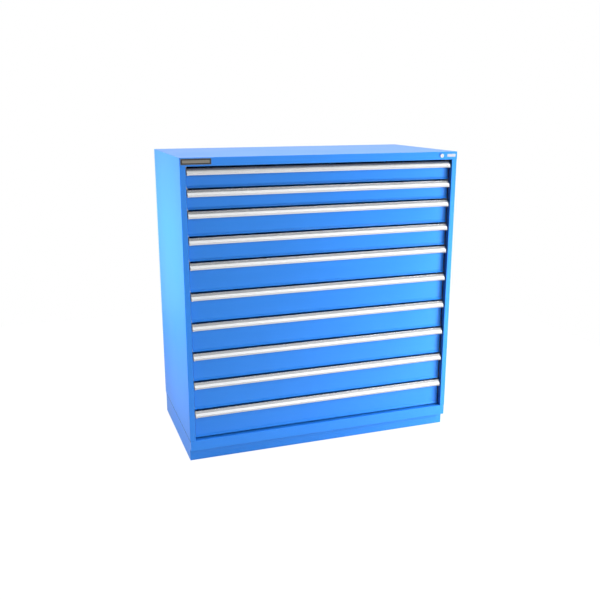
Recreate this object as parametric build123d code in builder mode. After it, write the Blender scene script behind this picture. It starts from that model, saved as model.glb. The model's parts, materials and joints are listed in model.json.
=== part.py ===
from build123d import *
import math
import os

# Free-standing steel cabinet with ten full-width drawers on telescopic slides.
# Millimetres. +X right, +Y back, +Z up. The drawers pull out along -Y.
# The origin is on the floor, under the middle of the outer box.

# Shell
cabinet_width = 1435.0
cabinet_depth = 724.0
sheet = 1.5
bend = 2.0
header_height = 40.0
header_return = 22.0
post_width = 27.0
post_return = 30.0
rear_flange = 20.0
foot_flange = 25.0

# Base
base_height = 117.0
base_inset = 2.5
base_rear_inset = 5.0
toe_height = 63.0
toe_recess = 29.0
toe_flange = 30.0
rail_lap = 10.0
tray_flange = 20.0

# Drawers, from the top one down. A pitch runs from one handle's top to the next.
shallow_pitch = 100.0
third_pitch = 125.0
fourth_pitch = 120.0
deep_pitch = 150.0
drawer_pitches = [shallow_pitch] * 2 + [third_pitch, fourth_pitch] + [deep_pitch] * 6
drawer_travel = 620.0
top_gap = 8.8
drawer_gap = 9.0
sill_gap = 9.2
front_clearance = 6.5
front_depth = 29.0
front_top_drop = 0.5
front_top_return = 7.0
front_side_return = 6.0
lip_reach = 7.3
lip_rise = 10.0
pan_wall = 1.2
pan_rise = 10.0
pan_drop = 12.0
pan_rear_gap = 34.0

# Handle, an extrusion with a finger hook behind, a label groove in its sloping face and capped ends
handle_wall = 2.2
handle_bend = 3.0
handle_leg = 26.0
crown_depth = 18.0
nose_depth = 4.7
nose_drop = 32.5
nose_lip = 9.0
nose_return = 5.0
groove_rise = 1.0
groove_width = 12.0
groove_cut = 0.6
handle_cap = 8.0

# Slides: a channel on the cabinet, a channel on the drawer, and a carriage in both
slide_height = 36.0
slide_channel = 12.0
slide_wall = 1.5
slide_gap = 1.0
slide_play = 0.3
slide_rise = 4.0
slide_front = 46.0
carriage_web = 3.0
carriage_flange = 2.5
carriage_short = 14.0
stop_width = 6.0
stop_length = 8.0
stop_height = 12.0

# Uprights that carry the slides, and the tabs that hook the slides in
upright_depth = 40.0
upright_width = 40.0
upright_rear_gap = 44.0
tab_width = 16.0
tab_height = 6.0
tab_reach = 5.0
tab_play = 0.5

# Lock: the key turns a crank pin, which draws a toothed bar across the catches
lock_from_side = 89.5
lock_drop = 20.0
lock_proud = 6.0
lock_bezel = 22.0
bezel_taper = 14.0
lock_body = 19.0
lock_body_length = 25.0
lock_hole_play = 0.2
nut_flats = 24.0
nut_height = 5.0
plug_diameter = 12.0
plug_play = 0.3
plug_set_back = 0.4
key_slot_height = 8.0
key_slot_width = 1.6
key_slot_cut = 4.0
stub_side = 7.0
stub_play = 0.1
cam_gap = 0.3
cam_thickness = 3.0
cam_hub = 16.0
cam_end = 9.0
pin_diameter = 4.0
pin_play = 0.5
pin_past = 1.5
lock_travel = 9.0
lock_angle = 90.0
bar_depth = 37.0
bar_thickness = 3.0
bar_side_gap = 1.5
bar_floor_gap = 20.0
tooth_height = 24.0
tooth_gap = 2.5
link_thickness = 3.0
link_height = 28.0
link_past = 14.0
catch_depth = 42.0
catch_thickness = 2.0
catch_inset = 1.0
stud_diameter = 5.0
stud_head = 10.0
stud_head_height = 2.5
stud_play = 0.5
stud_end_gap = 60.0
stud_count = 3

# Worked out from the sizes above
half_width = cabinet_width / 2
front_y = -(cabinet_depth - lock_proud) / 2
back_y = front_y + cabinet_depth
opening_height = top_gap + sum(drawer_pitches) - drawer_gap + sill_gap
header_z = base_height + opening_height
cabinet_height = header_z + header_height
web_inside = half_width - sheet
post_inside = half_width - post_width
base_half = half_width - base_inset
base_back_y = back_y - base_rear_inset
toe_y = front_y + toe_recess
front_half = post_inside - front_clearance
front_face_y = front_y + front_depth
front_back_y = front_face_y + sheet
upright_inside = web_inside - upright_depth
pan_half = upright_inside - 2 * slide_channel - slide_gap
pan_back_y = back_y - pan_rear_gap
slide_front_y = front_y + slide_front
carriage_back_y = pan_back_y - carriage_short
rail_stop_y = carriage_back_y - stop_length - drawer_travel / 2 - slide_play
carriage_stop_y = pan_back_y - stop_length - drawer_travel / 2 - slide_play
lock_x = half_width - lock_from_side
lock_z = cabinet_height - lock_drop
upright_fronts = [slide_front_y, back_y - upright_rear_gap - upright_width]

handle_tops = []
next_top = header_z - top_gap
for pitch in drawer_pitches:
    handle_tops.append(next_top)
    next_top -= pitch
lip_heights = [top - pitch + drawer_gap for top, pitch in zip(handle_tops, drawer_pitches)]
slide_heights = [lip + pan_rise + slide_rise for lip in lip_heights]

os.makedirs("parts", exist_ok=True)


def save(piece, name):
    """Label a finished piece and write its file."""
    piece.label = name
    export_step(piece, f"parts/{name}.step")


def folded(plane, points, side, wall=sheet, radius=bend):
    """Section of a folded sheet, from the line of its outer face and the side its wall lies on."""
    with BuildSketch(plane) as section:
        with BuildLine():
            FilletPolyline(*points, radius=radius)
            offset(amount=wall, side=side)
        make_face()
    return section.sketch


def channel(plane, points, side, wall=slide_wall):
    """Section of a square rolled channel, from the line of its outer face and the side its wall lies on."""
    with BuildSketch(plane) as section:
        with BuildLine():
            Polyline(*points)
            offset(amount=wall, side=side, kind=Kind.INTERSECTION)
        make_face()
    return section.sketch


def block(x, y, z, mode=Mode.ADD):
    """Square block between the low and high value on each axis."""
    with Locations(((x[0] + x[1]) / 2, (y[0] + y[1]) / 2, (z[0] + z[1]) / 2)):
        Box(x[1] - x[0], y[1] - y[0], z[1] - z[0], mode=mode)


def stop_span(slide_z):
    """Low and high end of a stop lug, half way up a slide."""
    middle = slide_z + slide_height / 2
    return (middle - stop_height / 2, middle + stop_height / 2)


def facing(depth):
    """Plane that looks forward, at a depth behind the front of the shell."""
    return Plane.XZ.offset(-(front_y + depth))


# Left side: one sheet folded into the outer wall, the front post and the rear flange.
# The post stops under the header, and a foot flange stands on the base.
side_line = [
    (-post_inside, front_y + post_return),
    (-post_inside, front_y),
    (-half_width, front_y),
    (-half_width, back_y),
    (-half_width + rear_flange, back_y),
]
with BuildPart() as side_left:
    side_rise = cabinet_height - sheet - base_height
    extrude(folded(Plane.XY.offset(base_height), side_line, Side.RIGHT), amount=side_rise)
    above_post = (header_z, cabinet_height)
    block((-half_width, -post_inside), (front_y, front_y + sheet), above_post, Mode.SUBTRACT)
    block((-web_inside, -post_inside), (front_y, front_y + post_return), above_post, Mode.SUBTRACT)
    bend_relief = (cabinet_height - bend, cabinet_height)
    block((-half_width, -web_inside), (front_y, front_y + bend), bend_relief, Mode.SUBTRACT)
    block((-half_width, -post_inside), (back_y - bend, back_y), bend_relief, Mode.SUBTRACT)
    block(
        (-web_inside, -half_width + foot_flange),
        (front_y + sheet, back_y - sheet),
        (base_height, base_height + sheet),
    )
save(side_left.part, "side_left")

with BuildPart() as side_right:
    mirror(side_left.part, about=Plane.YZ)
save(side_right.part, "side_right")

# Top: one sheet, folded down at the front as the header and at the back as a flange
top_line = [
    (front_y + header_return, header_z),
    (front_y, header_z),
    (front_y, cabinet_height),
    (back_y, cabinet_height),
    (back_y, cabinet_height - rear_flange),
]
with BuildPart() as top_panel:
    extrude(folded(Plane.YZ.offset(-half_width), top_line, Side.RIGHT), amount=cabinet_width)
    for low, high in ((-half_width, -post_inside), (post_inside, half_width)):
        block((low, high), (front_y, front_y + sheet), (header_z, header_z + bend))
        return_depth = (front_y + sheet, front_y + header_return)
        block((low, high), return_depth, (header_z, header_z + bend), Mode.SUBTRACT)
    for low, high in ((-half_width, -half_width + rear_flange), (half_width - rear_flange, half_width)):
        flange_height = (cabinet_height - rear_flange, cabinet_height - sheet)
        block((low, high), (back_y - bend, back_y), flange_height, Mode.SUBTRACT)
    with Locations(facing(0.0)):
        with Locations((lock_x, lock_z)):
            Hole(lock_body / 2 + lock_hole_play, depth=sheet)
save(top_panel.part, "top_panel")

# Back: a flat sheet inside the rear flanges of the sides and the top
with BuildPart() as back_panel:
    with BuildSketch(Plane.XZ.offset(-(back_y - sheet))):
        with Locations((0, (base_height + sheet + cabinet_height - bend) / 2)):
            Rectangle(2 * (half_width - bend), cabinet_height - bend - base_height - sheet)
    extrude(amount=sheet)
save(back_panel.part, "back_panel")

# Base tray: the cabinet's floor, folded down at the front as the rail under the drawers
tray_line = [
    (toe_y + rail_lap, toe_height),
    (front_y, toe_height),
    (front_y, base_height),
    (base_back_y, base_height),
    (base_back_y, base_height - tray_flange),
]
tray_half = base_half - sheet
with BuildPart() as base_tray:
    extrude(folded(Plane.YZ.offset(-tray_half), tray_line, Side.RIGHT), amount=2 * tray_half)
    for low, high in ((-base_half, -tray_half), (tray_half, base_half)):
        block((low, high), (front_y, front_y + sheet), (toe_height, base_height))
save(base_tray.part, "base_tray")

# Base sides: plates notched for the toe space, with a flange to stand on
base_side_line = [
    (front_y + sheet, toe_height),
    (front_y + sheet, base_height),
    (base_back_y, base_height),
    (base_back_y, 0),
    (toe_y + sheet, 0),
    (toe_y + sheet, toe_height),
]
with BuildPart() as base_side_left:
    with BuildSketch(Plane.YZ.offset(-base_half)):
        with BuildLine():
            Polyline(*base_side_line, close=True)
        make_face()
    extrude(amount=sheet)
    block((-tray_half, -tray_half + toe_flange), (toe_y + toe_flange, base_back_y - 2 * sheet), (0, sheet))
save(base_side_left.part, "base_side_left")

with BuildPart() as base_side_right:
    mirror(base_side_left.part, about=Plane.YZ)
save(base_side_right.part, "base_side_right")

with BuildPart() as base_rear:
    block((-tray_half, tray_half), (base_back_y - 2 * sheet, base_back_y - sheet), (0, base_height - bend))
    foot_half = tray_half - toe_flange
    block((-foot_half, foot_half), (base_back_y - 2 * sheet - toe_flange, base_back_y - sheet), (0, sheet))
save(base_rear.part, "base_rear")

# Toe kick: set back under the rail, with a flange on the floor and one under the rail's return
toe_line = [
    (toe_y + toe_flange, 0),
    (toe_y, 0),
    (toe_y, toe_height),
    (toe_y + toe_flange, toe_height),
]
with BuildPart() as toe_kick:
    extrude(folded(Plane.YZ.offset(-tray_half), toe_line, Side.RIGHT), amount=2 * tray_half)
    for low, high in ((-base_half, -tray_half), (tray_half, base_half)):
        block((low, high), (toe_y, toe_y + sheet), (0, toe_height))
save(toe_kick.part, "toe_kick")

# Uprights: channels on the inside of each side, slotted for the tabs of every slide
tab_heights = [z + slide_height / 2 for z in slide_heights]
tab_places = [(y + upright_width / 2, z) for y in upright_fronts for z in tab_heights]
with BuildPart() as uprights_left:
    for start_y in upright_fronts:
        upright_line = [
            (-web_inside, start_y),
            (-upright_inside, start_y),
            (-upright_inside, start_y + upright_width),
            (-web_inside, start_y + upright_width),
        ]
        floor = Plane.XY.offset(base_height + sheet)
        upright_height = cabinet_height - base_height - 2 * sheet
        extrude(channel(floor, upright_line, Side.LEFT, sheet), amount=upright_height)
    with BuildSketch(Plane.YZ.offset(-upright_inside - sheet)):
        with Locations(*tab_places):
            Rectangle(tab_width + 2 * tab_play, tab_height + 2 * tab_play)
    extrude(amount=sheet, mode=Mode.SUBTRACT)
save(uprights_left.part, "uprights_left")

with BuildPart() as uprights_right:
    mirror(uprights_left.part, about=Plane.YZ)
save(uprights_right.part, "uprights_right")

# Slide rails: one channel per drawer and side, hooked into the uprights by two tabs.
# A lug inside each channel stops the carriage at half the drawer's travel.
with BuildPart() as slide_rails_left:
    for z in slide_heights:
        rail_line = [
            (-upright_inside + slide_channel, z + slide_height),
            (-upright_inside, z + slide_height),
            (-upright_inside, z),
            (-upright_inside + slide_channel, z),
        ]
        rail_end = Plane.XZ.offset(-pan_back_y)
        extrude(channel(rail_end, rail_line, Side.LEFT), amount=pan_back_y - slide_front_y)
        block(
            (-upright_inside + slide_wall, -upright_inside + slide_wall + stop_width),
            (rail_stop_y - stop_length, rail_stop_y),
            stop_span(z),
        )
    with BuildSketch(Plane.YZ.offset(-upright_inside - tab_reach)):
        with Locations(*tab_places):
            Rectangle(tab_width, tab_height)
    extrude(amount=tab_reach)
save(slide_rails_left.part, "slide_rails_left")

with BuildPart() as slide_rails_right:
    mirror(slide_rails_left.part, about=Plane.YZ)
save(slide_rails_right.part, "slide_rails_right")

# Lock cylinder: a round body with a tapered bezel, bored for the plug
lock_plane = Plane((lock_x, front_y, lock_z), x_dir=(1, 0, 0), z_dir=(0, 1, 0))
with BuildPart() as lock_cylinder:
    with BuildSketch(lock_plane):
        Circle(lock_body / 2)
    extrude(amount=lock_body_length)
    with BuildSketch(lock_plane):
        Circle(lock_bezel / 2)
    extrude(amount=-lock_proud, taper=bezel_taper)
    with BuildSketch(lock_plane.offset(-lock_proud)):
        Circle(plug_diameter / 2 + plug_play)
    extrude(amount=lock_proud + lock_body_length, mode=Mode.SUBTRACT)
save(lock_cylinder.part, "lock_cylinder")

with BuildPart() as lock_nut:
    with BuildSketch(lock_plane.offset(sheet)):
        RegularPolygon(nut_flats / 2, 6, major_radius=False)
        Circle(lock_body / 2 + lock_hole_play, mode=Mode.SUBTRACT)
    extrude(amount=nut_height)
save(lock_nut.part, "lock_nut")

# Lock plug: turns in the cylinder, with a key slot in front and a square stub behind
cam_depth = lock_body_length + cam_gap
with BuildPart() as lock_plug:
    with BuildSketch(lock_plane.offset(-lock_proud + plug_set_back)):
        Circle(plug_diameter / 2)
    extrude(amount=lock_proud - plug_set_back + cam_depth)
    with BuildSketch(lock_plane.offset(-lock_proud + plug_set_back)):
        Rectangle(key_slot_width, key_slot_height)
    extrude(amount=key_slot_cut, mode=Mode.SUBTRACT)
    with BuildSketch(lock_plane.offset(cam_depth)):
        Rectangle(stub_side, stub_side)
    extrude(amount=cam_thickness)
save(lock_plug.part, "lock_plug")

# Lock cam: a crank on the stub. Its pin swings from one side of straight down to the other,
# which moves the bar by the lock's travel.
pin_radius = lock_travel / 2 / math.sin(math.radians(lock_angle / 2))
pin_low = pin_radius * math.cos(math.radians(lock_angle / 2))
with BuildPart() as lock_cam:
    with BuildSketch(facing(cam_depth + cam_thickness)):
        with Locations((lock_x, lock_z)):
            Circle(cam_hub / 2)
        with Locations((lock_x + lock_travel / 2, lock_z - pin_low)):
            Circle(cam_end / 2)
        make_hull()
        with Locations((lock_x, lock_z)):
            Rectangle(stub_side + 2 * stub_play, stub_side + 2 * stub_play, mode=Mode.SUBTRACT)
    extrude(amount=cam_thickness)
    with BuildSketch(facing(bar_depth + pin_past)):
        with Locations((lock_x + lock_travel / 2, lock_z - pin_low)):
            Circle(pin_diameter / 2)
    extrude(amount=bar_depth + pin_past - cam_depth - cam_thickness)
save(lock_cam.part, "lock_cam")

# Lock link: carries the crank pin in an upright slot and joins the bar at the side
bar_low_x = post_inside + bar_side_gap
bar_high_x = web_inside - bar_side_gap
link_low_x = lock_x - link_past
with BuildPart() as lock_link:
    with BuildSketch(facing(bar_depth)):
        with Locations(((link_low_x + bar_high_x) / 2, lock_z)):
            Rectangle(bar_high_x - link_low_x, link_height)
        with Locations((lock_x + lock_travel / 2, lock_z - (pin_radius + pin_low) / 2)):
            slot_width = pin_diameter + 2 * pin_play
            SlotOverall(slot_width + pin_radius - pin_low, slot_width, rotation=90, mode=Mode.SUBTRACT)
    extrude(amount=link_thickness)
save(lock_link.part, "lock_link")

# Lock bar: a flat bar with one tooth for each drawer, slotted for its guide studs.
# The teeth stay outside the drawers until the key draws them in front of the catches.
bar_low_z = base_height + bar_floor_gap
bar_high_z = lock_z + link_height / 2
stud_slot_x = (bar_low_x + bar_high_x) / 2
stud_x = stud_slot_x - lock_travel / 2
stud_step = (bar_high_z - bar_low_z - 2 * stud_end_gap) / (stud_count - 1)
stud_heights = [bar_low_z + stud_end_gap + stud_step * index for index in range(stud_count)]
tooth_x = front_half + tooth_gap
with BuildPart() as lock_bar:
    with BuildSketch(facing(bar_depth + bar_thickness)):
        with Locations((stud_slot_x, (bar_low_z + bar_high_z) / 2)):
            Rectangle(bar_high_x - bar_low_x, bar_high_z - bar_low_z)
        with Locations(*[((tooth_x + stud_slot_x) / 2, z + slide_height / 2) for z in slide_heights]):
            Rectangle(stud_slot_x - tooth_x, tooth_height)
        with Locations(*[(stud_slot_x, z) for z in stud_heights]):
            slot_width = stud_diameter + 2 * stud_play
            SlotOverall(slot_width + lock_travel, slot_width, mode=Mode.SUBTRACT)
    extrude(amount=bar_thickness)
save(lock_bar.part, "lock_bar")

# Guide studs: hexagon-headed shoulder screws on spacers, which hold the bar and let it slide
with BuildPart() as lock_studs:
    stud_places = [(stud_x, z) for z in stud_heights]
    with BuildSketch(facing(slide_front)):
        with Locations(*stud_places):
            RegularPolygon(stud_head / 2, 6)
    extrude(amount=slide_front - bar_depth - bar_thickness - slide_play)
    with BuildSketch(facing(slide_front)):
        with Locations(*stud_places):
            Circle(stud_diameter / 2)
    extrude(amount=slide_front - bar_depth + slide_play)
    with BuildSketch(facing(bar_depth - slide_play)):
        with Locations(*stud_places):
            RegularPolygon(stud_head / 2, 6)
    extrude(amount=stud_head_height)
save(lock_studs.part, "lock_studs")

# Drawers, from the top one down
for number, (top_z, lip_z, slide_z) in enumerate(zip(handle_tops, lip_heights, slide_heights), start=1):
    drawer = f"drawer_{number:02d}"

    # Front: a folded sheet with a lip thrown forward at the foot and returns at the top and ends
    front_top_z = top_z - front_top_drop
    front_line = [
        (front_face_y - lip_reach, lip_z),
        (front_face_y, lip_z + lip_rise),
        (front_face_y, front_top_z),
    ]
    with BuildPart() as drawer_front:
        extrude(folded(Plane.YZ.offset(-front_half), front_line, Side.RIGHT), amount=2 * front_half)
        top_return = (front_face_y, front_face_y + front_top_return)
        block((-front_half, front_half), top_return, (front_top_z - sheet, front_top_z))
        for low, high in ((-front_half, -front_half + sheet), (front_half - sheet, front_half)):
            end_return = (front_face_y, front_face_y + front_side_return)
            block((low, high), end_return, (lip_z + lip_rise + bend, front_top_z))
    save(drawer_front.part, f"{drawer}_front")

    # Handle: a hooked extrusion on the front, with a sloping face, an upright lip turned in at its foot,
    # and capped ends. A groove for labels runs along the face, just above the lip.
    crown = (front_y + crown_depth, top_z)
    knee = (front_y + nose_depth, top_z - nose_drop + nose_lip)
    nose = (front_y + nose_depth, top_z - nose_drop)
    heel = (nose[0] + nose_return, nose[1])
    hook_line = [(front_face_y, top_z), crown, knee, nose, heel]
    face_angle = math.atan2(crown[1] - knee[1], crown[0] - knee[0])
    up_face = (math.cos(face_angle), math.sin(face_angle))
    groove_middle = groove_rise + groove_width / 2
    handle_half = front_half - handle_cap
    with BuildPart() as handle_bar:
        section = folded(Plane.YZ.offset(-handle_half), hook_line, Side.LEFT, handle_wall, handle_bend)
        extrude(section, amount=2 * handle_half)
        leg_depth = (front_face_y - handle_wall, front_face_y)
        block((-handle_half, handle_half), leg_depth, (top_z - handle_leg, top_z))
        with BuildSketch(Plane.YZ.offset(-handle_half)):
            with Locations((knee[0] + groove_middle * up_face[0], knee[1] + groove_middle * up_face[1])):
                Rectangle(groove_width, 2 * groove_cut, rotation=math.degrees(face_angle))
        extrude(amount=2 * handle_half, mode=Mode.SUBTRACT)
    with BuildPart() as cap_left:
        with BuildSketch(Plane.YZ.offset(-front_half)):
            with BuildLine():
                Polyline(*hook_line, (front_face_y, top_z - handle_leg), close=True)
            make_face()
        extrude(amount=handle_cap)
    with BuildPart() as cap_right:
        mirror(cap_left.part, about=Plane.YZ)
    handle_bar.part.label = "bar"
    cap_left.part.label = "cap_left"
    cap_right.part.label = "cap_right"
    save(Compound(children=[handle_bar.part, cap_left.part, cap_right.part]), f"{drawer}_handle")

    # Pan: an open tray behind the front
    pan_floor_z = lip_z + pan_rise
    pan_top_z = top_z - pan_drop
    with BuildPart() as drawer_pan:
        with BuildSketch(Plane.XY.offset(pan_floor_z)):
            with Locations((0, (front_back_y + pan_back_y) / 2)):
                Rectangle(2 * pan_half, pan_back_y - front_back_y)
        extrude(amount=pan_top_z - pan_floor_z)
        offset(amount=-pan_wall, openings=drawer_pan.faces().sort_by(Axis.Z)[-1])

    # Runners: channels on the pan's sides. The right one turns out in front as the lock's catch.
    runner_line = [
        (-pan_half - slide_channel, slide_z + slide_height),
        (-pan_half, slide_z + slide_height),
        (-pan_half, slide_z),
        (-pan_half - slide_channel, slide_z),
    ]
    with BuildPart() as runner_left:
        runner_end = Plane.XZ.offset(-pan_back_y)
        extrude(channel(runner_end, runner_line, Side.RIGHT), amount=pan_back_y - slide_front_y)
        block(
            (-pan_half - slide_wall - stop_width, -pan_half - slide_wall),
            (pan_back_y - stop_length, pan_back_y),
            stop_span(slide_z),
        )
    catch_y = front_y + catch_depth
    with BuildPart() as runner_right:
        mirror(runner_left.part, about=Plane.YZ)
        slide_span = (slide_z, slide_z + slide_height)
        block((pan_half, pan_half + slide_wall), (catch_y, slide_front_y), slide_span)
        block((pan_half, front_half - catch_inset), (catch_y, catch_y + catch_thickness), slide_span)
    drawer_pan.part.label = "pan"
    runner_left.part.label = "runner_left"
    runner_right.part.label = "runner_right"
    save(Compound(children=[drawer_pan.part, runner_left.part, runner_right.part]), f"{drawer}_box")

    # Carriages: the middle members of the slides, held by the rail outside and the runner inside.
    # One lug meets the rail's stop and the other stops the runner.
    carriage_low_x = -upright_inside + slide_wall + slide_play
    carriage_high_x = -pan_half - slide_wall - slide_play
    carriage_x = (carriage_low_x + carriage_high_x) / 2
    carriage_width = carriage_high_x - carriage_low_x
    carriage_height = slide_height - 2 * slide_wall - 2 * slide_play
    carriage_z = slide_z + slide_height / 2
    flange_z = (carriage_height - carriage_flange) / 2
    with BuildPart() as carriages:
        with BuildSketch(Plane.XZ.offset(-carriage_back_y)):
            with Locations((carriage_x, carriage_z)):
                Rectangle(carriage_web, carriage_height)
            with Locations((carriage_x, carriage_z - flange_z), (carriage_x, carriage_z + flange_z)):
                Rectangle(carriage_width, carriage_flange)
        extrude(amount=carriage_back_y - slide_front_y)
        web_low_x = carriage_x - carriage_web / 2
        web_high_x = carriage_x + carriage_web / 2
        rear_lug = (carriage_back_y - stop_length, carriage_back_y)
        runner_stop = (carriage_stop_y - stop_length, carriage_stop_y)
        block((web_low_x - stop_width, web_low_x), rear_lug, stop_span(slide_z))
        block((web_high_x, web_high_x + stop_width), runner_stop, stop_span(slide_z))
        mirror(about=Plane.YZ)
    save(carriages.part, f"{drawer}_carriages")
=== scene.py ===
import json
import math

import bpy
from mathutils import Matrix, Vector

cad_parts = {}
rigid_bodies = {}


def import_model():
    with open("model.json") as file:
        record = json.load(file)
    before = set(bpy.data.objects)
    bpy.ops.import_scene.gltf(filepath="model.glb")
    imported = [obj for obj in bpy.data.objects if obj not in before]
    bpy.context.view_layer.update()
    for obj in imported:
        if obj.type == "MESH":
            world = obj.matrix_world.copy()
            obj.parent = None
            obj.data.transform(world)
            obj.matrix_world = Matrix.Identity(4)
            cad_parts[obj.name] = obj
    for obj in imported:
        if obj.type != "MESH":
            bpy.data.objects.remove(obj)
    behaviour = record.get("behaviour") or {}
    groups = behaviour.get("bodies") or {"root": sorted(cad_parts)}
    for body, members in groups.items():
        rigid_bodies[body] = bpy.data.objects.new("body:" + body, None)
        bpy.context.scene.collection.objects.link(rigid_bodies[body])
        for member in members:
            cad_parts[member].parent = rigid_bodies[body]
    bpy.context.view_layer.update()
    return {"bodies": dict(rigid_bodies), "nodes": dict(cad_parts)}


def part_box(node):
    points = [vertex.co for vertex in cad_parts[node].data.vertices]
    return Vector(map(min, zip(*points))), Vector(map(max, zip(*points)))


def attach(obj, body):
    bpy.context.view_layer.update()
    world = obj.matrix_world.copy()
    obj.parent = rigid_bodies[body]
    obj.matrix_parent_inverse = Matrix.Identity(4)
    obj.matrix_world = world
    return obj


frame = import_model()


# Shell: the sides, the top with its header, and the back, folded from 1.5 mm steel sheet
# and spot welded. All of it is sprayed with blue polyester powder and baked, which leaves
# a smooth satin skin with a faint orange peel.
def linear(hex_colour):
    """Linear RGBA of an sRGB hex colour."""
    values = [int(hex_colour[index : index + 2], 16) / 255 for index in (1, 3, 5)]
    return [((v + 0.055) / 1.055) ** 2.4 if v > 0.04045 else v / 12.92 for v in values] + [1.0]


def add_node(tree, kind, settings=None, inputs=None):
    """Add a node, set its settings, and set or link its inputs."""
    node = tree.nodes.new(kind)
    for name, value in (settings or {}).items():
        setattr(node, name, value)
    for name, value in (inputs or {}).items():
        if isinstance(value, bpy.types.NodeSocket):
            tree.links.new(value, node.inputs[name])
        else:
            node.inputs[name].default_value = value
    return node


def new_finish(name):
    """Node material, with its tree, its surface shader and the object's own coordinates."""
    finish = bpy.data.materials.new(name)
    finish.use_nodes = True
    tree = finish.node_tree
    shader = tree.nodes["Principled BSDF"]
    place = add_node(tree, "ShaderNodeTexCoord").outputs["Object"]
    return finish, tree, shader, place


def powder_coat(name, thin_colour, thick_colour, shade_colour, shaded_side, painted_shade_share):
    """Baked polyester powder: satin, with orange peel and a slow drift in thickness and tone.
    Faces turned to the shaded side are mixed towards a dark grey: painted shade on undersides
    and inner faces."""
    peel_width = 0.0035
    peel_depth = 0.0002
    peel_strength = 0.12
    drift_width = 0.30
    least_rough = 0.30
    most_rough = 0.38
    painted_shade_from = 0.85  # cosine between a face and the shaded side where the painted shade starts
    painted_shade_to = 0.98  # and where the painted shade is full
    first_colour, second_colour, mixed_colour = 6, 7, 2  # a Mix node's colour sockets
    finish, tree, shader, place = new_finish(name)
    drift = add_node(
        tree,
        "ShaderNodeTexNoise",
        inputs={"Vector": place, "Scale": 1 / drift_width, "Detail": 2.0},
    ).outputs["Fac"]
    tone = add_node(
        tree,
        "ShaderNodeMix",
        {"data_type": "RGBA"},
        {
            "Factor": drift,
            first_colour: linear(thin_colour),
            second_colour: linear(thick_colour),
        },
    ).outputs[mixed_colour]
    facing = add_node(tree, "ShaderNodeNewGeometry").outputs["True Normal"]
    turned = add_node(
        tree, "ShaderNodeVectorMath", {"operation": "DOT_PRODUCT"}, {0: facing, 1: shaded_side}
    ).outputs["Value"]
    painted_shade = add_node(
        tree,
        "ShaderNodeMapRange",
        inputs={
            "Value": turned,
            "From Min": painted_shade_from,
            "From Max": painted_shade_to,
            "To Min": 0.0,
            "To Max": painted_shade_share,
        },
    ).outputs["Result"]
    coat = add_node(
        tree,
        "ShaderNodeMix",
        {"data_type": "RGBA"},
        {"Factor": painted_shade, first_colour: tone, second_colour: linear(shade_colour)},
    ).outputs[mixed_colour]
    gloss = add_node(
        tree,
        "ShaderNodeMapRange",
        inputs={"Value": drift, "To Min": least_rough, "To Max": most_rough},
    ).outputs["Result"]
    peel = add_node(
        tree,
        "ShaderNodeTexNoise",
        inputs={"Vector": place, "Scale": 1 / peel_width, "Detail": 1.0},
    ).outputs["Fac"]
    skin = add_node(
        tree,
        "ShaderNodeBump",
        inputs={"Height": peel, "Strength": peel_strength, "Distance": peel_depth},
    ).outputs["Normal"]
    tree.links.new(coat, shader.inputs["Base Color"])
    tree.links.new(gloss, shader.inputs["Roughness"])
    tree.links.new(skin, shader.inputs["Normal"])
    shader.inputs["IOR"].default_value = 1.5
    return finish


def dress(finish, *names):
    """Give CAD nodes a finish."""
    for name in names:
        frame["nodes"][name].material_slots[0].material = finish


# The third tone is a dark grey: painted shade on faces that look down and, on the sides, on
# faces that look inwards into the opening.
blue_tones = ("#2A86EA", "#308CF1", "#32363C")
downward = (0, 0, -1)
painted_shade_below = 0.9
painted_shade_inside = 0.55
blue_coat = powder_coat("blue_powder_coat", *blue_tones, downward, painted_shade_below)
dress(blue_coat, "top_panel", "back_panel")
for side, inward in (("left", (1, 0, 0)), ("right", (-1, 0, 0))):
    side_coat = powder_coat(f"blue_powder_coat_{side}", *blue_tones, inward, painted_shade_inside)
    dress(side_coat, f"side_{side}")

# Base: a floor tray, two sides, a rear and a recessed toe kick, folded from the same sheet,
# welded into a frame and coated with the shell.
dress(blue_coat, "base_tray", "base_side_left", "base_side_right", "base_rear", "toe_kick")


# Base shade strip: a dark navy strip in the step under each side of the shell, along the joint
# with the base. It is painted shade, standing in for the shadow line of the step.
def shade_strip_matt(name, colour):
    """Dark, dull finish with a fine grain, for a strip of painted shade."""
    grain = 0.001  # coarser than the real grain, so that it shows
    least_rough = 0.6
    most_rough = 0.75
    finish, tree, shader, place = new_finish(name)
    speckle = add_node(
        tree, "ShaderNodeTexNoise", inputs={"Vector": place, "Scale": 1 / grain, "Detail": 2.0}
    ).outputs["Fac"]
    gloss = add_node(
        tree,
        "ShaderNodeMapRange",
        inputs={"Value": speckle, "To Min": least_rough, "To Max": most_rough},
    ).outputs["Result"]
    tree.links.new(gloss, shader.inputs["Roughness"])
    shader.inputs["Base Color"].default_value = linear(colour)
    return finish


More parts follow.
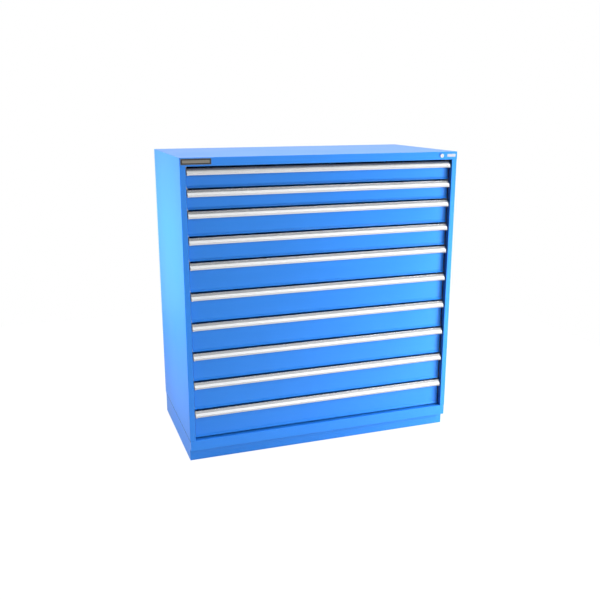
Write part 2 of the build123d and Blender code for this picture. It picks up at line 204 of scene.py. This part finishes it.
shade_strip_height = 0.0042
shade_strip_set_back = 0.0003
shade_strip_end_gap = 0.004
shade_strip_edge = 0.0006
shade_strip_finish = shade_strip_matt("shade_strip_matt", "#0E1826")
for side in ("left", "right"):
    shell_low, shell_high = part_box(f"side_{side}")
    base_low, base_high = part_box(f"base_side_{side}")
    outer = shell_low.x + shade_strip_set_back if side == "left" else shell_high.x - shade_strip_set_back
    inner = base_low.x if side == "left" else base_high.x
    middle_x = (outer + inner) / 2
    middle_y = (base_low.y + base_high.y) / 2
    length = base_high.y - base_low.y - 2 * shade_strip_end_gap
    bpy.ops.object.select_all(action="DESELECT")
    bpy.ops.mesh.primitive_cube_add(
        size=1,
        location=(middle_x, middle_y, shell_low.z - shade_strip_height / 2),
        scale=(abs(outer - inner), length, shade_strip_height),
    )
    shade_strip = bpy.context.object
    shade_strip.name = f"base_shade_strip_{side}"
    bpy.ops.object.transform_apply(location=True, rotation=True, scale=True)
    bpy.ops.object.mode_set(mode="EDIT")
    bpy.ops.mesh.select_all(action="SELECT")
    bpy.ops.mesh.bevel(offset=shade_strip_edge, segments=3)
    bpy.ops.object.mode_set(mode="OBJECT")
    shade_strip.data.materials.append(shade_strip_finish)
    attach(shade_strip, "cabinet")


# Uprights and slides: slotted channels welded to the sides, with a rail hooked in for each
# drawer and a carriage running in it. Roll formed from steel strip with bright zinc plate.
def zinc_plate(name, colour):
    """Bright zinc on rolled strip: a grey metal with fine rolling lines and a cloudy skin."""
    rolling_line = 0.0008  # coarser than the real lines, so that they show
    rolling_stretch = 0.02
    rolling_depth = 0.0001
    rolling_strength = 0.1
    cloud_width = 0.02
    least_rough = 0.26
    most_rough = 0.42
    finish, tree, shader, place = new_finish(name)
    stretched = add_node(
        tree, "ShaderNodeMapping", inputs={"Vector": place, "Scale": (1.0, rolling_stretch, 1.0)}
    ).outputs["Vector"]
    lines = add_node(
        tree,
        "ShaderNodeTexNoise",
        inputs={"Vector": stretched, "Scale": 1 / rolling_line, "Detail": 2.0},
    ).outputs["Fac"]
    cloud = add_node(
        tree,
        "ShaderNodeTexNoise",
        inputs={"Vector": place, "Scale": 1 / cloud_width, "Detail": 3.0},
    ).outputs["Fac"]
    gloss = add_node(
        tree,
        "ShaderNodeMapRange",
        inputs={"Value": cloud, "To Min": least_rough, "To Max": most_rough},
    ).outputs["Result"]
    skin = add_node(
        tree,
        "ShaderNodeBump",
        inputs={"Height": lines, "Strength": rolling_strength, "Distance": rolling_depth},
    ).outputs["Normal"]
    tree.links.new(gloss, shader.inputs["Roughness"])
    tree.links.new(skin, shader.inputs["Normal"])
    shader.inputs["Base Color"].default_value = linear(colour)
    shader.inputs["Metallic"].default_value = 1.0
    return finish


drawer_names = sorted(name for name in frame["bodies"] if name.startswith("drawer_"))
bright_zinc = zinc_plate("bright_zinc_plate", "#C0C2C4")
dress(bright_zinc, "uprights_left", "uprights_right", "slide_rails_left", "slide_rails_right")
dress(bright_zinc, *[f"{drawer}_carriages" for drawer in drawer_names])


# Lock: a die-cast cylinder through the header, held by a nut, with a plug that turns a crank.
# The cylinder and plug are polished and chromed. The cam, link, bar and studs behind them
# are zinc plated steel.
def polished_chrome(name, colour):
    """Polished chrome plate: almost a mirror, with a faint haze of polishing scratches."""
    scratch_width = 0.0006  # coarser than the real scratches, so that they show
    least_rough = 0.06
    most_rough = 0.16
    finish, tree, shader, place = new_finish(name)
    haze = add_node(
        tree,
        "ShaderNodeTexNoise",
        inputs={"Vector": place, "Scale": 1 / scratch_width, "Detail": 3.0},
    ).outputs["Fac"]
    gloss = add_node(
        tree,
        "ShaderNodeMapRange",
        inputs={"Value": haze, "To Min": least_rough, "To Max": most_rough},
    ).outputs["Result"]
    tree.links.new(gloss, shader.inputs["Roughness"])
    shader.inputs["Base Color"].default_value = linear(colour)
    shader.inputs["Metallic"].default_value = 1.0
    return finish


lock_chrome = polished_chrome("polished_chrome", "#E6E7E9")
dress(lock_chrome, "lock_cylinder", "lock_plug")
dress(bright_zinc, "lock_nut", "lock_cam", "lock_link", "lock_bar", "lock_studs")

# Drawers: a folded front with a lip at its foot, and an open pan behind it with a runner
# on each side. Steel sheet, coated with the shell.
dress(blue_coat, *[f"{drawer}_{piece}" for drawer in drawer_names for piece in ("front", "box")])


# Handles: one hooked aluminium extrusion across each drawer front, closed at each end by a
# cast cap and clear anodised with it. Drawing through the die leaves fine lines along it.
def anodised_extrusion(name, colour):
    """Clear anodised extrusion: a pale satin metal with die lines along X."""
    die_line = 0.0012  # coarser than the real lines, so that they show
    die_stretch = 0.004
    die_depth = 0.0001
    die_strength = 0.04
    least_rough = 0.22
    most_rough = 0.28
    finish, tree, shader, place = new_finish(name)
    along = add_node(
        tree, "ShaderNodeMapping", inputs={"Vector": place, "Scale": (die_stretch, 1.0, 1.0)}
    ).outputs["Vector"]
    lines = add_node(
        tree,
        "ShaderNodeTexNoise",
        inputs={"Vector": along, "Scale": 1 / die_line, "Detail": 2.0},
    ).outputs["Fac"]
    gloss = add_node(
        tree,
        "ShaderNodeMapRange",
        inputs={"Value": lines, "To Min": least_rough, "To Max": most_rough},
    ).outputs["Result"]
    skin = add_node(
        tree,
        "ShaderNodeBump",
        inputs={"Height": lines, "Strength": die_strength, "Distance": die_depth},
    ).outputs["Normal"]
    tree.links.new(gloss, shader.inputs["Roughness"])
    tree.links.new(skin, shader.inputs["Normal"])
    shader.inputs["Base Color"].default_value = linear(colour)
    shader.inputs["Metallic"].default_value = 1.0
    return finish


handle_metal = anodised_extrusion("clear_anodised_aluminium", "#D3D5D8")
dress(handle_metal, *[f"{drawer}_handle" for drawer in drawer_names])


# Label strips: a blank white card under a clear film, stuck along the sloping face of each
# handle. It closes the label groove and runs on over both end caps.
def filmed_card(name, colour):
    """White card under a clear film: matt fibres below, a soft gloss on top."""
    fibre = 0.0012
    least_rough = 0.45
    most_rough = 0.60
    finish, tree, shader, place = new_finish(name)
    fibres = add_node(
        tree, "ShaderNodeTexNoise", inputs={"Vector": place, "Scale": 1 / fibre, "Detail": 4.0}
    ).outputs["Fac"]
    gloss = add_node(
        tree,
        "ShaderNodeMapRange",
        inputs={"Value": fibres, "To Min": least_rough, "To Max": most_rough},
    ).outputs["Result"]
    tree.links.new(gloss, shader.inputs["Roughness"])
    shader.inputs["Base Color"].default_value = linear(colour)
    shader.inputs["Coat Weight"].default_value = 0.5
    shader.inputs["Coat Roughness"].default_value = 0.12
    return finish


def round_corners(plate, thickness, corner):
    """Round the four corners of a thin upright plate, whose thickness is along its own Y."""
    bpy.ops.object.mode_set(mode="EDIT")
    bpy.ops.mesh.select_mode(type="EDGE")
    bpy.ops.mesh.select_all(action="DESELECT")
    bpy.ops.object.mode_set(mode="OBJECT")
    for edge in plate.data.edges:
        ends = [plate.data.vertices[index].co for index in edge.vertices]
        edge.select = abs(ends[0].y - ends[1].y) > thickness / 2
    bpy.ops.object.mode_set(mode="EDIT")
    bpy.ops.mesh.bevel(offset=corner, segments=5)
    bpy.ops.object.mode_set(mode="OBJECT")


card_height = 0.0126
card_thickness = 0.0003
card_end_gap = 0.0005
card_corner = 0.001
groove_ahead = 0.02085  # the groove's middle, in front of the handle's back
groove_drop = 0.01741  # and below its top
slope_depth = 0.0133
slope_height = 0.0235
slope_lean = math.atan2(slope_depth, slope_height)
first_handle_low, first_handle_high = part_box(f"{drawer_names[0]}_handle")
strip_card = filmed_card("label_card", "#F7F8F8")
into_slope = Vector((0, math.cos(slope_lean), -math.sin(slope_lean)))
card_centre = Vector((0, first_handle_high.y - groove_ahead, first_handle_high.z - groove_drop))
card_centre -= into_slope * (card_thickness / 2)
card_length = first_handle_high.x - first_handle_low.x - 2 * card_end_gap
bpy.ops.object.select_all(action="DESELECT")
bpy.ops.mesh.primitive_cube_add(
    size=1,
    location=card_centre,
    rotation=(-slope_lean, 0, 0),
    scale=(card_length, card_thickness, card_height),
)
first_strip = bpy.context.object
bpy.ops.object.transform_apply(location=False, rotation=False, scale=True)
round_corners(first_strip, card_thickness, card_corner)
bpy.ops.object.transform_apply(location=True, rotation=True, scale=True)
first_strip.data.materials.append(strip_card)
for drawer in drawer_names:
    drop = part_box(f"{drawer}_handle")[1].z - first_handle_high.z
    strip = first_strip.copy()
    strip.data = first_strip.data.copy()
    strip.data.transform(Matrix.Translation((0, 0, drop)))
    strip.name = f"{drawer}_label_strip"
    bpy.context.collection.objects.link(strip)
    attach(strip, drawer)
bpy.data.objects.remove(first_strip)


# Nameplate: a blank plate stuck on the left of the header. Pressed alloy, stoved with dark
# enamel, with a raised rim and a raised plain strip rubbed back to the metal.
def stoved_enamel(name, colour):
    """Stoved enamel on a pressed plate: dark and glossy, a little uneven."""
    ripple = 0.006
    least_rough = 0.20
    most_rough = 0.32
    finish, tree, shader, place = new_finish(name)
    uneven = add_node(
        tree, "ShaderNodeTexNoise", inputs={"Vector": place, "Scale": 1 / ripple, "Detail": 2.0}
    ).outputs["Fac"]
    gloss = add_node(
        tree,
        "ShaderNodeMapRange",
        inputs={"Value": uneven, "To Min": least_rough, "To Max": most_rough},
    ).outputs["Result"]
    tree.links.new(gloss, shader.inputs["Roughness"])
    shader.inputs["Base Color"].default_value = linear(colour)
    return finish


def rubbed_alloy(name, colour):
    """Alloy rubbed back through its enamel: a dull metal with fine marks along it."""
    rub_mark = 0.0008  # coarser than the real marks, so that they show
    rub_stretch = 0.1
    least_rough = 0.34
    most_rough = 0.46
    finish, tree, shader, place = new_finish(name)
    along = add_node(
        tree, "ShaderNodeMapping", inputs={"Vector": place, "Scale": (rub_stretch, 1.0, 1.0)}
    ).outputs["Vector"]
    marks = add_node(
        tree,
        "ShaderNodeTexNoise",
        inputs={"Vector": along, "Scale": 1 / rub_mark, "Detail": 2.0},
    ).outputs["Fac"]
    gloss = add_node(
        tree,
        "ShaderNodeMapRange",
        inputs={"Value": marks, "To Min": least_rough, "To Max": most_rough},
    ).outputs["Result"]
    tree.links.new(gloss, shader.inputs["Roughness"])
    shader.inputs["Base Color"].default_value = linear(colour)
    shader.inputs["Metallic"].default_value = 1.0
    return finish


def flat_plate(name, low_x, high_x, back_y, middle_z, height, thickness, corner):
    """Upright plate facing the front, with its back at back_y and rounded corners."""
    bpy.ops.object.select_all(action="DESELECT")
    bpy.ops.mesh.primitive_cube_add(
        size=1,
        location=((low_x + high_x) / 2, back_y - thickness / 2, middle_z),
        scale=(high_x - low_x, thickness, height),
    )
    plate = bpy.context.object
    plate.name = name
    bpy.ops.object.transform_apply(location=True, rotation=True, scale=True)
    round_corners(plate, thickness, corner)
    return plate


plate_left_gap = 0.005
plate_drop = 0.0185
plate_width = 0.1425
plate_height = 0.028
plate_thickness = 0.0012
plate_corner = 0.003
rim_width = 0.0025
field_sink = 0.0005
front_facing = -0.9
strip_margin = 0.0075
strip_rise = 0.0004
strip_corner = 0.001
header_low, header_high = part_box("top_panel")
plate_left = header_low.x + plate_left_gap
plate_right = plate_left + plate_width
plate_z = header_high.z - plate_drop
nameplate = flat_plate(
    "nameplate",
    plate_left,
    plate_right,
    header_low.y,
    plate_z,
    plate_height,
    plate_thickness,
    plate_corner,
)
nameplate.data.materials.append(stoved_enamel("rim_enamel", "#5C5E60"))
nameplate.data.materials.append(stoved_enamel("field_enamel", "#2A2C2E"))
bpy.ops.object.mode_set(mode="EDIT")
bpy.ops.mesh.select_mode(type="FACE")
bpy.ops.mesh.select_all(action="DESELECT")
bpy.ops.object.mode_set(mode="OBJECT")
for face in nameplate.data.polygons:
    face.select = face.normal.y < front_facing
bpy.ops.object.mode_set(mode="EDIT")
bpy.ops.mesh.inset(thickness=rim_width)
bpy.ops.mesh.extrude_region_move(TRANSFORM_OT_translate={"value": (0, field_sink, 0)})
nameplate.active_material_index = 1
bpy.ops.object.material_slot_assign()
bpy.ops.object.mode_set(mode="OBJECT")
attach(nameplate, "cabinet")
raised_strip = flat_plate(
    "nameplate_strip",
    plate_left + strip_margin,
    plate_right - strip_margin,
    header_low.y - plate_thickness + field_sink,
    plate_z,
    plate_height - 2 * strip_margin,
    strip_rise,
    strip_corner,
)
raised_strip.data.materials.append(rubbed_alloy("rubbed_alloy", "#8A867E"))
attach(raised_strip, "cabinet")


# Blank label: a small sticker on the header beside the lock, with nothing printed on it.
# Silver polyester film, die cut with round corners and held by its own adhesive.
def silver_film(name, colour):
    """Metallised polyester film: a pale satin silver with a fine grain."""
    grain = 0.001  # coarser than the real grain, so that it shows
    least_rough = 0.35
    most_rough = 0.5
    finish, tree, shader, place = new_finish(name)
    speckle = add_node(
        tree, "ShaderNodeTexNoise", inputs={"Vector": place, "Scale": 1 / grain, "Detail": 2.0}
    ).outputs["Fac"]
    gloss = add_node(
        tree,
        "ShaderNodeMapRange",
        inputs={"Value": speckle, "To Min": least_rough, "To Max": most_rough},
    ).outputs["Result"]
    tree.links.new(gloss, shader.inputs["Roughness"])
    shader.inputs["Base Color"].default_value = linear(colour)
    shader.inputs["Metallic"].default_value = 0.6
    return finish


label_right_gap = 0.0095
label_drop = 0.0195
label_width = 0.047
label_height = 0.0145
label_thickness = 0.0002
label_corner = 0.0025
label_right = header_high.x - label_right_gap
label = flat_plate(
    "blank_label",
    label_right - label_width,
    label_right,
    header_low.y,
    header_high.z - label_drop,
    label_height,
    label_thickness,
    label_corner,
)
label.data.materials.append(silver_film("silver_polyester", "#C2C7D2"))
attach(label, "cabinet")


# Lamps: four soft boxes round the cabinet and one broad, soft light from the front.
# The key on the right makes the fronts fall off to the left, as they do in the photograph.
def soft_lamp(name, place, target, width, height, watts, spread=180):
    """Soft box at a place, turned to a target. Gloss shows the studio's walls, not the box."""
    lamp = bpy.data.lights.new(name, "AREA")
    lamp.shape = "RECTANGLE"
    lamp.size = width
    lamp.size_y = height
    lamp.energy = watts
    lamp.spread = math.radians(spread)
    box = bpy.data.objects.new(name, lamp)
    box.visible_glossy = False
    box.visible_camera = False
    box.location = place
    box.rotation_euler = (Vector(target) - Vector(place)).to_track_quat("-Z", "Y").to_euler()
    bpy.context.collection.objects.link(box)


soft_lamp(
    "key_right",
    place=(1.7, -1.32, 0.75),
    target=(0.15, -0.36, 0.75),
    width=0.7,
    height=1.5,
    watts=50,
)
soft_lamp(
    "rim_left",
    place=(-2.2, 0.0, 1.1),
    target=(-0.72, 0.0, 1.05),
    width=0.8,
    height=0.8,
    watts=19.5,
    spread=100,
)
soft_lamp(
    "top_soft",
    place=(0.0, -0.5, 3.3),
    target=(0.0, -0.2, 1.5),
    width=2.0,
    height=1.0,
    watts=33,
)
soft_lamp(
    "back_soft",
    place=(0.0, 2.4, 0.8),
    target=(0.0, 0.36, 0.8),
    width=1.3,
    height=1.3,
    watts=18,
    spread=100,
)

front_strength = 0.92
front_spread = 40
front_tilt = 73
front_turn = 14
front_light = bpy.data.lights.new("front_soft", "SUN")
front_light.energy = front_strength
front_light.angle = math.radians(front_spread)
front_soft = bpy.data.objects.new("front_soft", front_light)
front_soft.visible_glossy = False
front_soft.rotation_euler = (math.radians(front_tilt), 0, math.radians(front_turn))
bpy.context.collection.objects.link(front_soft)

# Floor: a plain white sheet that keeps a faint shadow round the base. The camera sees mostly its
# glow, and gloss sees a painted glow on it, brightest on the right.
floor_size = 5.0
floor_glow = 1.17
glow_seen = 0.85
mirror_left, mirror_right = -1.0, 0.8
mirror_left_share, mirror_right_share = 0.15, 1.0
bpy.ops.object.select_all(action="DESELECT")
bpy.ops.mesh.primitive_plane_add(size=floor_size)
floor = bpy.context.object
floor.name = "floor"
white_floor = bpy.data.materials.new("white_floor")
white_floor.use_nodes = True
floor_tree = white_floor.node_tree
floor_tree.nodes.remove(floor_tree.nodes["Principled BSDF"])
matt = add_node(floor_tree, "ShaderNodeBsdfDiffuse", inputs={"Color": linear("#C6C6C6")})
glow = add_node(floor_tree, "ShaderNodeEmission", inputs={"Strength": floor_glow})
floor_ray = add_node(floor_tree, "ShaderNodeLightPath").outputs
floor_place = add_node(floor_tree, "ShaderNodeTexCoord").outputs["Object"]
floor_across = add_node(
    floor_tree, "ShaderNodeSeparateXYZ", inputs={"Vector": floor_place}
).outputs["X"]
# Only gloss rays see this share of the glow: a painted reflection, weakest on the left.
mirror_share = add_node(
    floor_tree,
    "ShaderNodeMapRange",
    inputs={
        "Value": floor_across,
        "From Min": mirror_left,
        "From Max": mirror_right,
        "To Min": mirror_left_share,
        "To Max": mirror_right_share,
    },
).outputs["Result"]
mirrored = add_node(
    floor_tree,
    "ShaderNodeMath",
    {"operation": "MULTIPLY"},
    {0: floor_ray["Is Glossy Ray"], 1: mirror_share},
)
shown_glow = add_node(
    floor_tree,
    "ShaderNodeMath",
    {"operation": "MULTIPLY_ADD"},
    {0: floor_ray["Is Camera Ray"], 1: glow_seen, 2: mirrored.outputs[0]},
)
floor_look = add_node(
    floor_tree,
    "ShaderNodeMixShader",
    inputs={0: shown_glow.outputs[0], 1: matt.outputs[0], 2: glow.outputs[0]},
)
floor_tree.links.new(
    floor_look.outputs[0], floor_tree.nodes["Material Output"].inputs["Surface"]
)
floor.data.materials.append(white_floor)

# Studio surroundings: a lit cove all round, a bank of light over it and a ceiling panel, both
# brightest on the right. The camera sees plain white, and matt surfaces get only a little of
# this light. Sides are given by the X of a direction, and heights in degrees.
ambient_share = 0.08
ground_left, ground_right = -0.15, 0.45
ground_left_level, ground_right_level = 0.55, 1.3
horizon_low, horizon_high = -0.05, 0.06
cove_level = 0.95
bank_left, bank_right = 0.2, 0.46
bank_left_level, bank_right_level = 0.53, 1.08
bank_foot_low, bank_foot_high = 15, 28
bank_low, bank_high = 30, 60
bank_low_level, bank_high_level = 1.45, 0.25
ceiling_left, ceiling_right = 0.24, 0.46
ceiling_left_level, ceiling_right_level = 0.15, 2.2
ceiling_low, ceiling_high = 62, 72
ceiling_level = 3.5
first_level, second_level = 2, 3  # a Mix node's number inputs
world = bpy.data.worlds.new("studio")
bpy.context.scene.world = world
world.use_nodes = True
sky = world.node_tree
around = add_node(sky, "ShaderNodeTexCoord").outputs["Generated"]
direction = add_node(sky, "ShaderNodeSeparateXYZ", inputs={"Vector": around}).outputs
ground = add_node(
    sky,
    "ShaderNodeMapRange",
    inputs={
        "Value": direction["X"],
        "From Min": ground_left,
        "From Max": ground_right,
        "To Min": ground_left_level,
        "To Max": ground_right_level,
    },
).outputs["Result"]
horizon = add_node(
    sky,
    "ShaderNodeMapRange",
    {"interpolation_type": "SMOOTHSTEP"},
    {"Value": direction["Z"], "From Min": horizon_low, "From Max": horizon_high},
).outputs["Result"]
cove = add_node(
    sky,
    "ShaderNodeMix",
    {"data_type": "FLOAT"},
    {0: horizon, first_level: ground, second_level: cove_level},
).outputs[0]
across = add_node(
    sky, "ShaderNodeCombineXYZ", inputs={"Y": direction["Y"], "Z": direction["Z"]}
).outputs["Vector"]
upright = add_node(
    sky, "ShaderNodeVectorMath", {"operation": "NORMALIZE"}, {0: across}
).outputs["Vector"]
lift = add_node(sky, "ShaderNodeSeparateXYZ", inputs={"Vector": upright}).outputs["Z"]
bank_side = add_node(
    sky,
    "ShaderNodeMapRange",
    inputs={
        "Value": direction["X"],
        "From Min": bank_left,
        "From Max": bank_right,
        "To Min": bank_left_level,
        "To Max": bank_right_level,
    },
).outputs["Result"]
bank_fall = add_node(
    sky,
    "ShaderNodeMapRange",
    inputs={
        "Value": lift,
        "From Min": math.sin(math.radians(bank_low)),
        "From Max": math.sin(math.radians(bank_high)),
        "To Min": bank_low_level,
        "To Max": bank_high_level,
    },
).outputs["Result"]
bank = add_node(
    sky, "ShaderNodeMath", {"operation": "MULTIPLY"}, {0: bank_side, 1: bank_fall}
).outputs[0]
climb = add_node(
    sky,
    "ShaderNodeMapRange",
    {"interpolation_type": "SMOOTHSTEP"},
    {
        "Value": direction["Z"],
        "From Min": math.sin(math.radians(bank_foot_low)),
        "From Max": math.sin(math.radians(bank_foot_high)),
    },
).outputs["Result"]
sides = add_node(
    sky,
    "ShaderNodeMix",
    {"data_type": "FLOAT"},
    {0: climb, first_level: cove, second_level: bank},
).outputs[0]
ceiling_side = add_node(
    sky,
    "ShaderNodeMapRange",
    inputs={
        "Value": direction["X"],
        "From Min": ceiling_left,
        "From Max": ceiling_right,
        "To Min": ceiling_left_level,
        "To Max": ceiling_right_level,
    },
).outputs["Result"]
ceiling = add_node(
    sky,
    "ShaderNodeMapRange",
    {"interpolation_type": "SMOOTHSTEP"},
    {
        "Value": lift,
        "From Min": math.sin(math.radians(ceiling_low)),
        "From Max": math.sin(math.radians(ceiling_high)),
        "To Min": 0.0,
        "To Max": ceiling_level,
    },
).outputs["Result"]
walls = add_node(
    sky,
    "ShaderNodeMath",
    {"operation": "MULTIPLY_ADD"},
    {0: ceiling, 1: ceiling_side, 2: sides},
).outputs[0]
sky_ray = add_node(sky, "ShaderNodeLightPath").outputs
dim = add_node(
    sky,
    "ShaderNodeMapRange",
    inputs={"Value": sky_ray["Is Diffuse Ray"], "To Min": 1.0, "To Max": ambient_share},
).outputs["Result"]
lit = add_node(
    sky, "ShaderNodeMath", {"operation": "MULTIPLY"}, {0: walls, 1: dim}
).outputs[0]
strength = add_node(
    sky,
    "ShaderNodeMix",
    {"data_type": "FLOAT"},
    {0: sky_ray["Is Camera Ray"], first_level: lit, second_level: 1.0},
).outputs[0]
surround = sky.nodes["Background"]
surround.inputs["Color"].default_value = linear("#FFFFFF")
sky.links.new(strength, surround.inputs["Strength"])

# Camera: fitted to the straight edges of the cabinet in the photograph, from the left and
# a little above the top.
camera_place = (-1.3524, -3.8013, 1.7518)
camera_tilt = 75.343
camera_turn = -19.430
photo_camera = bpy.data.cameras.new("camera")
photo_camera.sensor_width = 36.0
photo_camera.lens = 45.23
camera = bpy.data.objects.new("camera", photo_camera)
camera.location = camera_place
camera.rotation_euler = (math.radians(camera_tilt), 0, math.radians(camera_turn))
bpy.context.collection.objects.link(camera)
bpy.context.scene.camera = camera
bpy.context.scene.view_settings.view_transform = "Standard"
